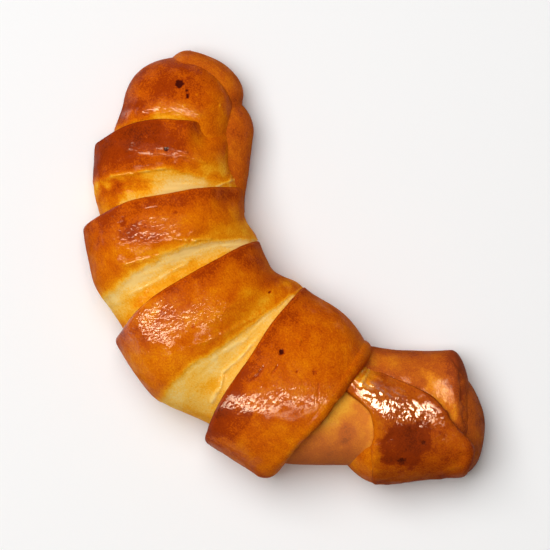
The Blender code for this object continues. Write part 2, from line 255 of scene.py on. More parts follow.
# Lines in the skin, by turn: the places along and across the roll that a line goes through,
# its width and its height, in mm, and what it adds to the browning and the gloss.
Line = namedtuple("Line", "places width height brown gloss")
LINES = {
    "cap": (
        # The cap's streak is a ridge with real gloss, and its paler colour is a painted highlight.
        (((24, -17), (21, -9.5), (19.4, -5), (17.6, -1.4), (18, 2.3), (19.8, 8)),
          1.3, 0.4, -0.12, 1.0),
    ),
    "turn_1": (
        # This line follows the crown's glint: ridge and gloss are real, its paler colour is a painted
        # highlight.
        (((39, -18), (36.6, -12.5), (35.2, -7.4), (35.2, -1.4), (35.3, 4.6), (37.2, 12)),
          0.7, 0.22, -0.06, 0.5),
        (((34.2, -14.6), (36.2, -12.2), (34, -7.5), (33.4, -0.6), (33.8, 5.5)),
          0.5, 0.16, 0, 0.3),
        # A glint along the valley's border: a real ridge with gloss, paler as a painted highlight.
        (((43.6, -20), (42.6, -14), (41.6, -7), (40.4, -1.8)), 0.5, 0.25, -0.2, 0.5),
        (((43, 23), (44.8, 19.4), (46.5, 17)), 0.5, 0.3, -0.25, 0.3),
        (((42, 21.5), (45, 20.6), (49, 22.5)), 0.5, 0.3, -0.2, 0.2),
    ),
    "turn_2": (
        # These two lines follow the crown's glints: ridges and gloss are real, their paler colour is
        # a painted highlight.
        (((61, -10), (62.4, -2.6), (65.7, 1.8), (67.9, 13)), 0.6, 0.25, -0.1, 0.6),
        (((69.5, -18), (69.7, -8.4), (68.1, 2.8), (67.3, 7.6)), 0.7, 0.25, -0.1, 0.5),
        (((53.3, -8.2), (53.1, -4)), 0.4, 0.2, 0, 0.6),
        (((56.9, -6.8), (57, -1.9)), 0.4, 0.2, 0, 0.6),
        (((75.4, 27), (74, 22), (72.2, 17)), 0.5, 0.3, -0.2, 0.3),
        (((78, -20), (77.5, -12), (76, -4), (74.5, 3)), 0.6, 0.2, -0.14, 0.2),
    ),
    "turn_3": (
        (((113.5, 9), (113.5, -0.5), (112.7, -7), (114.8, -11.5), (116, -18)),
          0.6, 0.55, -0.24, 0.3),
        (((99.5, -10.6), (102, -3), (104.9, 8.4), (107.2, 17)), 0.8, 0.2, -0.06, 0.5),
        (((107.5, -6), (108.5, 0), (110.5, 7)), 0.7, 0.2, -0.14, 0.3),
    ),
    "turn_4": (
        (((120.6, -4), (122, -0.3), (121.9, 3)), 0.5, -0.3, 0.2, 0.4),
        (((125.9, 3), (126.1, 6)), 0.4, -0.25, 0.2, 0.3),
        (((143, 6.4), (144.8, 0.7)), 0.4, -0.3, 0.12, 0.3),
        (((153.5, 7.4), (152.4, 4), (150.9, 2.5)), 0.5, 0.3, -0.1, 0.4),
    ),
    "bulge": (
        (((156.8, 4.5), (161.7, 3.6), (164.2, 0.4), (165.6, -5.3), (164.8, -12.5), (162.8, -18)),
          1.2, 0.25, -0.2, 0.1),
    ),
    "turn_5": (
        (((156, 11), (165, 8), (172, 5), (180, 2.5), (189, 1.5)), 4, 0.7, 0, 0),
        (((155, 8.8), (157.4, 12.8), (160, 16.4)), 0.5, 0.4, -0.2, 0.4),
        (((157.6, 8.2), (159.3, 11.3), (161, 15)), 0.5, 0.4, -0.2, 0.4),
    ),
    "end_fold": (
        (((193.4, 20.5), (196.3, 16), (196, 6), (197, -2)), 0.8, -0.7, 0.08, 0),
    ),
}

# Small pits and blisters in the skin, by turn: place along and across the roll, radius and
# depth, in mm, and how much darker the crust is there. A blister has a negative depth.
Pit = namedtuple("Pit", "along across radius depth burn")
PITS = {
    "cap": (
        (10.8, -0.9, 1.0, 0.6, 1.1), (12.7, 2.0, 0.4, 0.3, 0.5), (14.4, 2.7, 0.4, 0.3, 0.9),
        (8.2, 1.8, 0.6, -0.25, 0.1), (13.4, 5.6, 0.4, -0.25, -0.2),
        (15.2, 14.0, 0.4, -0.3, -0.3),
    ),
    "turn_1": (
        (33.9, -1.6, 0.55, 0.3, 1.0), (30.5, -9.0, 0.45, -0.3, -0.2),
    ),
    "turn_2": (
        (57.6, -16.4, 1.0, 0.3, 0.2), (56.0, 2.0, 0.6, 0.1, 0.15),
    ),
    "turn_3": (
        (102.3, 23.9, 0.45, 0.4, 0.6), (95.2, -4.8, 0.5, 0.3, 0.2),
    ),
    "turn_4": (
        (124.4, 10.9, 0.8, 0.5, 0.7), (128.8, 17.2, 0.9, -0.4, 0.0), (133.6, 7.6, 0.4, 0.2, 0.2),
        (140.0, 9.6, 0.8, 0.2, 0.2),
    ),
    "turn_5": (
        (175.6, -15.9, 1.1, 0.2, 0.3), (182.7, -8.8, 0.7, 0.2, 0.2),
    ),
}


def smooth(share):
    """0 to 1 with level ends: 3 t^2 - 2 t^3."""
    share = np.clip(share, 0.0, 1.0)
    return share * share * (3.0 - 2.0 * share)


def heading(along):
    """The centreline's direction in radians, at distances along it: one long smooth bend."""
    share = (along - BEND_FROM) / (BEND_TO - BEND_FROM)
    return np.radians(FIRST_HEADING + FULL_TURN * smooth(share))


def centreline():
    """Distances along the centreline and the points there, found by adding up short steps."""
    along = np.linspace(-PATH_SPARE, ROLL_LENGTH + PATH_SPARE, PATH_STEPS)
    step = along[1] - along[0]
    middle = heading((along[1:] + along[:-1]) / 2.0)
    x = np.concatenate([[0.0], np.cumsum(np.cos(middle) * step)])
    y = np.concatenate([[0.0], np.cumsum(np.sin(middle) * step)])
    return along, np.stack([x, y], axis=1)


ALONG, PATH = centreline()


def edge_place(edge, x):
    """Where an edge lies along the centreline, for x from -1, convex, to 1, concave: a smooth
    curve through its places at the five stations, with Catmull-Rom slopes."""
    places = np.array(edge, float)
    step = STATIONS[1] - STATIONS[0]
    slopes = np.gradient(places)
    cell = np.clip(((x - STATIONS[0]) / step).astype(int), 0, len(places) - 2)
    t = (x - STATIONS[0]) / step - cell
    start, end = places[cell], places[cell + 1]
    return (
        start
        + (end - start) * smooth(t)
        + slopes[cell] * t * (1.0 - t) ** 2
        - slopes[cell + 1] * t**2 * (1.0 - t)
    )


def fallen_share(fall, share):
    """How far a turn has gone from its leading size to its tail's."""
    t = np.clip((share - fall.start) / (fall.end - fall.start), 0.0, 1.0)
    return smooth(t) if fall.form == VALLEY else t**SHOULDER_POWER


def end_profile(end):
    """A rounded end, outwards from the centreline: the distance behind the edge, in mm, and
    the section's scale there. A dome is a quarter of an ellipse. A lip is half of one, from
    its hidden lower side round the nose to its upper side."""
    if end.depth >= DOME:
        angle = np.linspace(0.0, np.pi / 2.0, DOME_STEPS)
        return end.reach * (1.0 - np.cos(angle)), np.sin(angle)
    angle = np.linspace(0.0, np.pi, LIP_STEPS)
    behind = end.reach * (1.0 - np.sin(angle))
    scale = 1.0 - end.depth / 2.0 * (1.0 + np.cos(angle))
    return np.concatenate([[end.reach], behind]), np.concatenate([[0.0], scale])


def profile(turn, steps):
    """Ring by ring from a turn's leading end to its tail: how much a ring follows the tail and
    not the leading edge, its distance behind its own edge, and its scale."""
    lead_behind, lead_scale = end_profile(turn.lead_end)
    tail_behind, tail_scale = end_profile(turn.tail_end)
    body = np.linspace(0.0, 1.0, steps + 2)[1:-1]
    share = np.concatenate([np.zeros(len(lead_behind)), body, np.ones(len(tail_behind))])
    behind = np.concatenate([
        lead_behind,
        turn.lead_end.reach * (1.0 - body) - turn.tail_end.reach * body,
        -tail_behind[::-1],
    ])
    scale = np.concatenate([lead_scale, np.ones(steps), tail_scale[::-1]])
    return share, behind, scale


def section(angle, size, scale=1.0, lowered=0.0):
    """A flattened superellipse across the centreline: its place across and its height."""
    x = np.cos(angle)
    up = np.sin(angle)
    half_width = np.where(x > 0.0, size.concave, size.convex)
    across = scale * half_width * np.sign(x) * np.abs(x) ** SIDE_FULLNESS
    middle = WIDEST_AT * size.height
    crown = size.height * (1.0 - lowered) - middle
    above = scale * crown * np.abs(up) ** CROWN_FULLNESS
    below = scale * (middle + SINK) * np.abs(up) ** UNDERSIDE_FULLNESS
    return across, middle + np.where(up > 0.0, above, -below)


def section_angles(size, count):
    """Angles round a section at equal lengths of its outline, with the flat underside's length
    counted less, so that the points are close together where the roll shows."""
    angle = np.linspace(0.0, 2.0 * np.pi, 20 * count)
    across, height = section(angle, size)
    length = np.hypot(np.diff(across), np.diff(height))
    shows = (height[1:] + height[:-1]) / 2.0 > UNDERSIDE_TOP
    length = np.concatenate([[0.0], np.cumsum(length * np.where(shows, 1.0, UNDERSIDE_SHARE))])
    return np.interp(np.linspace(0.0, length[-1], count, endpoint=False), length, angle)


Shell = namedtuple("Shell", "points x along across around share scale")


def turn_shell(turn, grid):
    """A turn's grid of points, rings by points, in mm, and where each lies on the roll.

    A ring is a section whose half widths and height go smoothly from the leading size to the
    tail's. Its place along the centreline goes from the leading edge to the tail's edge, each
    of which is a curve across the roll."""
    steps, count = grid
    share, behind, scale = (a[:, None] for a in profile(turn, steps))
    mean = Size(*((a + b) / 2.0 for a, b in zip(turn.lead_size, turn.tail_size)))
    angle = section_angles(mean, count)[None, :]
    fallen = fallen_share(turn.fall, share)
    size = Size(*(a + (b - a) * fallen for a, b in zip(turn.lead_size, turn.tail_size)))
    x = np.cos(angle)

    rim = np.minimum(1.0, scale / (1.0 - TUCKED.depth))
    lead = edge_place(turn.lead, x)
    tail = edge_place(turn.tail, x)
    lead = turn.lead[CROWN] + (lead - turn.lead[CROWN]) * rim
    tail = turn.tail[CROWN] + (tail - turn.tail[CROWN]) * rim
    along = lead + (tail - lead) * share + behind
    lowered = smooth((x - turn.melt.start) / MELT_SPAN) * (1.0 - smooth((along - lead) / MELT_REACH))
    across, height = section(angle, size, scale, turn.melt.depth * lowered)

    direction = heading(along)
    px = np.interp(along, ALONG, PATH[:, 0]) - across * np.sin(direction)
    py = np.interp(along, ALONG, PATH[:, 1]) + across * np.cos(direction)
    points = np.stack([px, py, height * np.ones_like(px)], axis=-1)

    typical_across, typical_height = section(angle[0], mean)
    crown = np.argmin(np.abs(angle[0] - np.pi / 2.0))
    steps_round = np.hypot(np.diff(typical_across), np.diff(typical_height))
    around = np.concatenate([[0.0], np.cumsum(steps_round)])
    around = (around[crown] - around)[None, :] * np.ones_like(along)
    wide = np.ones_like(along)
    return Shell(points, x * wide, along, across, around, share * wide, scale * wide)


def middle_of_roll():
    """The middle of the box that all the turns fill, in mm, from a coarse grid of each."""
    everything = [turn_shell(turn, (8, 44)).points.reshape(-1, 3) for turn in TURNS.values()]
    everything = np.concatenate(everything)
    return (everything.min(axis=0) + everything.max(axis=0))[:2] / 2.0


MIDDLE = middle_of_roll()


# --- Noise ---
LATTICE = 256
NOISE_GAIN = 1.6  # brings the blended slopes to about -1 to 1


def noise(places, seed):
    """Smooth noise, about -1 to 1: random slopes on a whole-number lattice, blended by a
    quintic between the eight corners round each place."""
    draw = np.random.default_rng(seed)
    order = draw.permutation(LATTICE)
    slopes = draw.normal(size=(LATTICE, 3))
    slopes /= np.linalg.norm(slopes, axis=1, keepdims=True)
    cell = np.floor(places).astype(int)
    part = places - cell
    blend = part**3 * (part * (part * 6.0 - 15.0) + 10.0)
    total = np.zeros(places.shape[:-1])
    for corner in product((0, 1), repeat=3):
        at = cell + corner
        pick = order[at[..., 0] % LATTICE]
        pick = order[(pick + at[..., 1]) % LATTICE]
        pick = order[(pick + at[..., 2]) % LATTICE]
        height = (slopes[pick] * (part - corner)).sum(axis=-1)
        weight = np.prod(np.where(corner, blend, 1.0 - blend), axis=-1)
        total += weight * height
    return total * NOISE_GAIN


def layered_noise(places, seed, layers=3):
    """Noise of `layers` sizes, each half as large and half as high as the one before."""
    total = 0.0
    for layer in range(layers):
        total = total + noise(places * 2.0**layer, seed + layer) / 2.0**layer
    return total


# --- The skin of a turn ---
def bump(distance, radius):
    """A round bell: 1 at no distance, about a third at the radius."""
    return np.exp(-((distance / radius) ** 2))


def patch_share(patch, shell, uneven):
    """0 to 1 inside a patch: an ellipse in the plane of along and across, leaning, with an
    uneven edge that is crossed over a wide or a narrow band."""
    across = shell.across - patch.across
    along = shell.along - patch.along - patch.lean * across
    away = np.hypot(along / patch.long, across / patch.wide) * (1.0 + 0.3 * uneven)
    band = 0.06 + 0.55 * (1.0 - patch.sharp)
    return smooth((1.0 + band - away) / (2.0 * band))


def line_distance(places, shell):
    """The least distance in mm, along and across the roll, to a line through those places."""
    nearest = np.full_like(shell.along, 1e3)
    for (s0, t0), (s1, t1) in zip(places[:-1], places[1:]):
        step = (s1 - s0) ** 2 + (t1 - t0) ** 2
        share = ((shell.along - s0) * (s1 - s0) + (shell.across - t0) * (t1 - t0)) / step
        share = np.clip(share, 0.0, 1.0)
        away = np.hypot(shell.along - s0 - share * (s1 - s0), shell.across - t0 - share * (t1 - t0))
        nearest = np.minimum(nearest, away)
    return nearest


def valley_share(skin, shell, flow):
    """How much of the pale, stretched dough shows, 0 to 1, and how far past its ragged border
    a point is, in mm."""
    if skin.valley is None:
        return np.zeros_like(shell.along), np.full_like(shell.along, -99.0)
    ragged = 0.6 * layered_noise(flow / (9.0, 5.0, 1.0), 11)
    past = shell.along - edge_place(skin.valley, shell.x) - ragged
    return smooth(past / VALLEY_BORDER + 0.5), past


def crinkles(flow, grain, seed):
    """Fine wrinkles of the dried glaze, about -1 to 1: noise drawn out along the grain, whose
    places are first pushed about by coarser noise so that the wrinkles curl."""
    push = np.stack([noise(flow / 4.0, seed), noise(flow / 4.0, seed + 1), 0.0 * flow[..., 0]], -1)
    curled = flow + 1.4 * push
    fine = noise(curled / (*grain, 1.0), seed + 2)
    return fine * (0.6 + 0.8 * smooth(0.5 + 0.9 * noise(flow / 3.0, seed + 5)))


def swells(place, sizes, seed):
    """The sum of noises of those heights and widths in mm, each with a seed of its own."""
    return sum(high * noise(place / wide, seed + i) for i, (high, wide) in enumerate(sizes))


def baked(skin, shell, flow, seed, valley, past, across_turn):
    """The browning that the oven gives: its course from lip to lip, paler and streaked round
    the roll in the valley, and blotchy all over."""
    browning = np.interp(across_turn, *zip(*skin.browning))
    pale = np.interp(past, (0.0, VALLEY_WIDTH), skin.pale)
    pale = pale + 0.07 * layered_noise(flow / (3.5, 12.0, 1.0), seed + 31)
    browning = browning + (pale - browning) * valley
    return browning + 0.05 * layered_noise(shell.points / 9.0, seed + 41) * (1.0 - 0.5 * valley)


def mark_skin(fields, mark, share):
    """Adds a patch's or a line's share of each field that it changes."""
    fields["relief"] += mark.height * share
    fields["browning"] += mark.brown * share
    fields["gloss"] += mark.gloss * share


def add_patches(name, shell, fields, top, seed):
    """Adds each patch of the turn, with an uneven edge."""
    uneven = layered_noise(shell.points / 5.0, seed + 50, 2)
    for patch in starmap(Patch, PATCHES.get(name, ())):
        share = patch_share(patch, shell, uneven) * top
        mark_skin(fields, patch, share)
        fields["crinkle"] += patch.crinkle * share


def add_lines(name, shell, fields, top, seed):
    """Adds ridges and creases: a bell across each line, which wanders and comes and goes."""
    wander = 0.5 * noise(shell.points / 3.0, seed + 9)
    patchy = smooth(0.75 + 0.6 * noise(shell.points / 2.2, seed + 10))
    for line in starmap(Line, LINES.get(name, ())):
        away = line_distance(line.places, shell) + wander * line.width
        mark_skin(fields, line, bump(away, line.width) * top * patchy)


def add_pits(name, shell, fields, top, seed):
    """Adds pits and blisters: uneven round bells, dark or pale a little past their radius."""
    uneven = 1.0 + 0.4 * noise(shell.points / 0.9, seed + 9)
    for pit in starmap(Pit, PITS.get(name, ())):
        away = np.hypot(shell.along - pit.along, shell.across - pit.across) * uneven
        fields["relief"] -= pit.depth * bump(away, pit.radius) * top
        fields["browning"] += pit.burn * smooth(1.7 - away / pit.radius) * top


def turn_fields(turn, skin, shell):
    """The relief of the skin, in mm, and its browning, gloss, dryness, crinkles and painted
    shade, at each point."""
    seed = 100 * list(TURNS).index(turn.name)
    place = shell.points
    flow = np.stack([shell.along, shell.around, np.full_like(shell.along, 7.0 * seed)], axis=-1)
    valley, past = valley_share(skin, shell, flow)
    last = turn.tail if skin.next_lip is None else skin.next_lip
    first = edge_place(turn.lead, shell.x)
    across_turn = (shell.along - first) / np.maximum(edge_place(last, shell.x) - first, 4.0)
    top = smooth((place[..., 2] - MARKS_FROM) / MARKS_FADE)
    underside = smooth((2.2 - place[..., 2]) / 2.0)
    pole = smooth(shell.scale / 0.5)
    rim = smooth((edge_place(turn.tail, shell.x) - shell.along) / TAIL_RIM)
    steep = smooth((STEEP - outward(place)[..., 2]) / STEEP)

    gloss = skin.gloss * (1.0 - 0.7 * valley) * smooth(0.3 + across_turn / 0.2)
    relief = swells(place, BROAD_SWELLS, seed + 1) + swells(place, FINE_SWELLS, seed + 3) * rim
    relief = relief - VALLEY_DROP * valley
    if skin.valley is not None:
        relief = relief + BORDER_RIDGE * bump(past, BORDER_RIDGE_REACH) * pole
    stretched = noise(flow / (1.1, 11.0, 1.0), seed + 8)
    fields = {
        "relief": relief + STRETCH_MARKS * valley * stretched * pole,
        "browning": (baked(skin, shell, flow, seed, valley, past, across_turn)
                     # browner on a valley's steep sides: painted shade
                     + 0.1 * steep * valley),
        "gloss": gloss * (1.0 - smooth((shell.x - 0.1) / 0.4)),  # it ran off the hollow side
        "crinkle": np.zeros_like(valley),
    }
    add_patches(turn.name, shell, fields, top, seed)
    crinkle = np.clip(fields["crinkle"], 0.0, 1.0) * (1.0 - valley) * pole * rim
    fields["relief"] += CRINKLE_HEIGHT * crinkle * crinkles(flow, skin.grain, seed + 6)
    add_lines(turn.name, shell, fields, top, seed)
    add_pits(turn.name, shell, fields, top, seed)

    browned_share = smooth((fields["browning"] - 0.5) / 0.25)  # painted shade falls only on browned crust
    # Painted shade: darker at the same hue on steep sides and on the far end's turns.
    deep = (skin.deep + STEEP_SHADE * steep * (1.0 - 0.6 * valley)) * browned_share
    dry = np.maximum(skin.dry, underside)
    painted = {
        "browning": fields["browning"] * (1.0 - underside) + 0.55 * underside,
        "gloss": np.clip(fields["gloss"], 0.0, 1.0) * (1.0 - dry),
        "dry": dry,
        "crinkle": crinkle,
        "deep": deep * (1.0 - underside),
    }
    return fields["relief"] * (1.0 - underside), painted, flow


def outward(points):
    """Unit normals of a grid of rings: the cross product of its two directions."""
    round_it = np.roll(points, -1, axis=1) - np.roll(points, 1, axis=1)
    along_it = np.gradient(points, axis=0)
    normal = np.cross(round_it, along_it)
    length = np.linalg.norm(normal, axis=-1, keepdims=True)
    return normal / np.maximum(length, 1e-9)


def grid_faces(rings, count):
    """Corner numbers of a closed tube's faces: quads between rings, then a fan at each end.
    The first point and the last are the ends' poles."""
    ring = np.arange(rings - 1)[:, None] * count + 1
    here = np.arange(count)[None, :]
    there = (here + 1) % count
    quads = np.stack([ring + here, ring + there, ring + count + there, ring + count + here], -1)
    last = rings * count + 1
    top = last - count
    first_fan = np.stack([np.zeros_like(here), 1 + there, 1 + here], -1)
    last_fan = np.stack([top + here, top + there, np.full_like(here, last)], -1)
    return quads.reshape(-1, 4), first_fan.reshape(-1, 3), last_fan.reshape(-1, 3)


def new_object(name, data):
    """An object of that data in the scene."""
    made = bpy.data.objects.new(name, data)
    bpy.context.scene.collection.objects.link(made)
    return made


def tube_mesh(name, points, fields, flow):
    """A mesh object of a closed tube of rings, with the skin's fields as attributes."""
    rings, count = points.shape[0] - 2, points.shape[1]

    def flat(grid):
        return np.concatenate([grid[:1, 0], grid[1:-1].reshape(-1, *grid.shape[2:]), grid[-1:, 0]])

    quads, first_fan, last_fan = grid_faces(rings, count)
    corners = np.concatenate([quads.ravel(), first_fan.ravel(), last_fan.ravel()])
    sizes = np.concatenate([np.full(len(quads), 4), np.full(2 * count, 3)])
    starts = np.concatenate([[0], np.cumsum(sizes)[:-1]])
    mesh = bpy.data.meshes.new(name)
    places = flat(points)
    mesh.vertices.add(len(places))
    mesh.vertices.foreach_set("co", (places * MM).astype(np.float32).ravel())
    mesh.loops.add(len(corners))
    mesh.loops.foreach_set("vertex_index", corners.astype(np.int32))
    mesh.polygons.add(len(sizes))
    mesh.polygons.foreach_set("loop_start", starts.astype(np.int32))
    mesh.update(calc_edges=True)
    mesh.validate()
    for field, values in fields.items():
        data = mesh.attributes.new(field, "FLOAT", "POINT").data
        data.foreach_set("value", flat(values).astype(np.float32))
    data = mesh.attributes.new("flow", "FLOAT_VECTOR", "POINT").data
    data.foreach_set("vector", flat(flow * MM).astype(np.float32).ravel())
    mesh.shade_smooth()
    return new_object(name, mesh)


def make_turn(name, grid, material):
    """One turn of the roll: its shell with the skin's relief, in place on the resting plane."""
    turn = TURNS[name]
    shell = turn_shell(turn, grid)
    relief, fields, flow = turn_fields(turn, SKINS[name], shell)
    points = shell.points + outward(shell.points) * relief[..., None]
    points[0] = points[0].mean(axis=0)
    points[-1] = points[-1].mean(axis=0)
    points[..., :2] -= MIDDLE
    points[..., 2] = np.maximum(points[..., 2], 0.0)
    made = tube_mesh(name, points, fields, flow)
    made.data.materials.append(material)
    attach(made, BODY)
    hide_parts(NODE)
    return made


def make_turns(names, grid, finish):
    """Turns of the roll, all with that grid and finish, for an operator."""
    for name in names:
        make_turn(name, grid, crust(finish))
    return {"FINISHED"}


# --- Node groups ---
def new_group(name, inputs, outputs):
    """An empty shader group, its number inputs from name to default, its outputs from name to
    kind, and the sockets inside it of both."""
    group = bpy.data.node_groups.new(name, "ShaderNodeTree")
    for label, value in inputs.items():
        socket = group.interface.new_socket(label, in_out="INPUT", socket_type="NodeSocketFloat")
        socket.default_value = value
    for label, kind in outputs.items():
        group.interface.new_socket(label, in_out="OUTPUT", socket_type="NodeSocket" + kind)
    entry = group.nodes.new("NodeGroupInput")
    return group, entry.outputs, group.nodes.new("NodeGroupOutput").inputs


def feed(tree, value, socket):
    """Links another node's output to a socket, or sets the socket to a plain value."""
    if isinstance(value, bpy.types.NodeSocket):
        tree.links.new(value, socket)
    else:
        socket.default_value = value


def add(tree, kind, **settings):
    """A node with those settings. A setting named after a socket feeds that socket."""
    node = tree.nodes.new(kind)
    for key, value in settings.items():
        if hasattr(node, key):
            setattr(node, key, value)
        else:
            feed(tree, value, node.inputs[key.replace("_", " ").title()])
    return node


def maths(tree, operation, *values, clamp=False):
    """The output of a maths node, whose inputs are sockets or numbers."""
    node = add(tree, "ShaderNodeMath", operation=operation, use_clamp=clamp)
    for value, socket in zip(values, node.inputs):
        feed(tree, value, socket)
    return node.outputs[0]


def mixed(tree, share, first, second):
    """The output of a colour mix: the first colour, and by that share the second."""
    node = add(tree, "ShaderNodeMix", data_type="RGBA")
    for number, value in ((0, share), (6, first), (7, second)):
        feed(tree, value, node.inputs[number])
    return node.outputs[2]


BROWNING_STOPS = (0.0, 0.18, 0.34, 0.5, 0.64, 0.78, 0.94, 1.4)
RAMP_SPAN = 1.6  # the ramp's right end stands for this much browning
FRECKLE = 0.16  # browning that a freckle adds
DRY_DOUGH = (0.62, 0.36, 0.13)


def freckles(group, place):
    """Extra browning in tiny round spots, at random places about 3 mm apart."""
    cells = add(group, "ShaderNodeTexVoronoi", vector=place, scale=330.0)
    split = group.nodes.new("ShaderNodeSeparateColor")
    group.links.new(cells.outputs["Color"], split.inputs["Color"])
    radius = maths(group, "MULTIPLY", maths(group, "POWER", split.outputs["Red"], 5.0), 0.16)
    inside = maths(group, "SUBTRACT", radius, cells.outputs["Distance"])
    inside = maths(group, "MULTIPLY", inside, 16.0, clamp=True)
    return maths(group, "MULTIPLY", inside, FRECKLE)


def browning_group(colours):
    """Crust colour from how browned it is, with mottling at two sizes, darkened towards black by
    painted shade.
    """
    group, inputs, outputs = new_group(
        "Baked Colour", {"Browning": 0.6, "Dry": 0.0, "Deep": 0.0, "Mottling": 0.06},
        {"Color": "Color"})
    place = add(group, "ShaderNodeTexCoord").outputs["Object"]
    coarse = add(group, "ShaderNodeTexNoise", vector=place, scale=160.0, detail=5.0, roughness=0.62)
    fine = add(group, "ShaderNodeTexNoise", vector=place, scale=1700.0, detail=3.0, roughness=0.6)
    both = maths(group, "ADD", fine.outputs["Fac"], coarse.outputs["Fac"])
    shift = maths(group, "MULTIPLY", maths(group, "SUBTRACT", both, 1.0), inputs["Mottling"])
    level = maths(group, "ADD", inputs["Browning"], maths(group, "MULTIPLY", shift, 4.0))
    level = maths(group, "ADD", level, freckles(group, place))
    ramp = group.nodes.new("ShaderNodeValToRGB")
    ramp.color_ramp.interpolation = "EASE"
    marks = ramp.color_ramp.elements
    while len(marks) < len(BROWNING_STOPS):
        marks.new(1.0)
    for mark, stop, colour in zip(marks, BROWNING_STOPS, colours):
        mark.position = stop / RAMP_SPAN
        mark.color = (*colour, 1.0)
    feed(group, maths(group, "DIVIDE", level, RAMP_SPAN, clamp=True), ramp.inputs["Fac"])
    floury = maths(group, "MULTIPLY", inputs["Dry"], 0.6)
    crust_colour = mixed(group, floury, ramp.outputs["Color"], (*DRY_DOUGH, 1.0))
    # Painted shade: the colour goes towards black by that share.
    crust_colour = mixed(group, inputs["Deep"], crust_colour, (0.0, 0.0, 0.0, 1.0))
    feed(group, crust_colour, outputs["Color"])
    return group


def grain_group():
    """Heights of the crust's fine grain: tiny pores all over, and wrinkles of the glaze that
    follow the turn."""
    group, inputs, outputs = new_group(
        "Crust Grain", {"Pores": 0.5, "Wrinkles": 0.5, "Crinkle": 1.0},
        {"Crumb Height": "Float", "Glaze Height": "Float"})
    place = add(group, "ShaderNodeTexCoord").outputs["Object"]
    pores = add(group, "ShaderNodeTexNoise", vector=place, scale=1300.0, detail=3.0, roughness=0.55)
    flow = add(group, "ShaderNodeAttribute", attribute_name="flow").outputs["Vector"]
    flow = add(group, "ShaderNodeMapping", vector_type="POINT", vector=flow,
               scale=(1050.0, 580.0, 1.0)).outputs["Vector"]
    lines = add(group, "ShaderNodeTexNoise", vector=flow, scale=1.0, detail=1.4, roughness=0.5,
                distortion=0.4)
    crumb = maths(group, "MULTIPLY", pores.outputs["Fac"], inputs["Pores"])
    feed(group, crumb, outputs["Crumb Height"])
    glaze = maths(group, "MULTIPLY", lines.outputs["Fac"], inputs["Wrinkles"])
    feed(group, maths(group, "MULTIPLY", glaze, inputs["Crinkle"]), outputs["Glaze Height"])
    return group


def sheen_group():
    """Roughness and how much clear glaze lies on the crust, both a little uneven."""
    group, inputs, outputs = new_group(
        "Egg Wash",
        {"Gloss": 1.0, "Most Glaze": 0.9, "Glazed Roughness": 0.36, "Dry Roughness": 0.7},
        {"Roughness": "Float", "Glaze": "Float"})
    place = add(group, "ShaderNodeTexCoord").outputs["Object"]
    patches = add(group, "ShaderNodeTexNoise", vector=place, scale=210.0, detail=4.0, roughness=0.6)
    uneven = maths(group, "SUBTRACT", patches.outputs["Fac"], 0.5)
    gloss = maths(group, "MULTIPLY_ADD", uneven, 0.7, inputs["Gloss"])
    gloss = maths(group, "MAXIMUM", gloss, 0.0, clamp=True)
    span = maths(group, "SUBTRACT", inputs["Glazed Roughness"], inputs["Dry Roughness"])
    rough = maths(group, "ADD", maths(group, "MULTIPLY", span, gloss), inputs["Dry Roughness"])
    feed(group, rough, outputs["Roughness"])
    feed(group, maths(group, "MULTIPLY", gloss, inputs["Most Glaze"]), outputs["Glaze"])
    return group


GRAIN_DEPTH = 0.12 * MM  # of the crumb's pores and the glaze's wrinkles
GLAZE_IOR = 1.5
BARE_CRUST_SHINE = 0.015  # the bare crust mirrors next to nothing


def crust_material(name, groups, mottling, pores, wrinkles, most_glaze, coat_roughness):
    """Baked crust under egg wash. The fields painted on the mesh say how browned, glossy and dry
    it is at each place, and how much shade is painted on it."""
    material = bpy.data.materials.new(name)
    material.use_nodes = True
    tree = material.node_tree
    shader = tree.nodes["Principled BSDF"]
    colour, sheen, grain = (add(tree, "ShaderNodeGroup", node_tree=group) for group in groups)
    for node, field in ((colour, "Browning"), (colour, "Dry"), (colour, "Deep"), (sheen, "Gloss"),
                        (grain, "Crinkle")):
        painted = add(tree, "ShaderNodeAttribute", attribute_name=field.lower())
        tree.links.new(painted.outputs["Fac"], node.inputs[field])
    colour.inputs["Mottling"].default_value = mottling
    sheen.inputs["Most Glaze"].default_value = most_glaze
    grain.inputs["Pores"].default_value = pores
    grain.inputs["Wrinkles"].default_value = wrinkles
    tree.links.new(colour.outputs["Color"], shader.inputs["Base Color"])
    tree.links.new(sheen.outputs["Roughness"], shader.inputs["Roughness"])
    tree.links.new(sheen.outputs["Glaze"], shader.inputs["Coat Weight"])
    shader.inputs["Coat Roughness"].default_value = coat_roughness
    shader.inputs["Coat IOR"].default_value = GLAZE_IOR
    shader.inputs["Specular IOR Level"].default_value = BARE_CRUST_SHINE
    glaze, crumb = (add(tree, "ShaderNodeBump", strength=1.0, distance=GRAIN_DEPTH) for _ in range(2))
    tree.links.new(grain.outputs["Glaze Height"], glaze.inputs["Height"])
    tree.links.new(grain.outputs["Crumb Height"], crumb.inputs["Height"])
    tree.links.new(glaze.outputs["Normal"], crumb.inputs["Normal"])
    tree.links.new(glaze.outputs["Normal"], shader.inputs["Coat Normal"])
    tree.links.new(crumb.outputs["Normal"], shader.inputs["Normal"])
    return material


def shared_groups():
    """The three node groups, made on the first call."""
    known = bpy.data.node_groups
    if "Baked Colour" not in known:
        looks = bpy.context.scene.crescent_crust
        browning_group([getattr(looks, name) for name in COLOUR_NAMES])
        sheen_group()
        grain_group()
    return known["Baked Colour"], known["Egg Wash"], known["Crust Grain"]


def crust(name):
    """The crust material of that name, made on the first call."""
    if name not in bpy.data.materials:
        looks = bpy.context.scene.crescent_crust
        crust_material(name, shared_groups(), *FINISHES[name], looks.glaze_roughness)
    return bpy.data.materials[name]


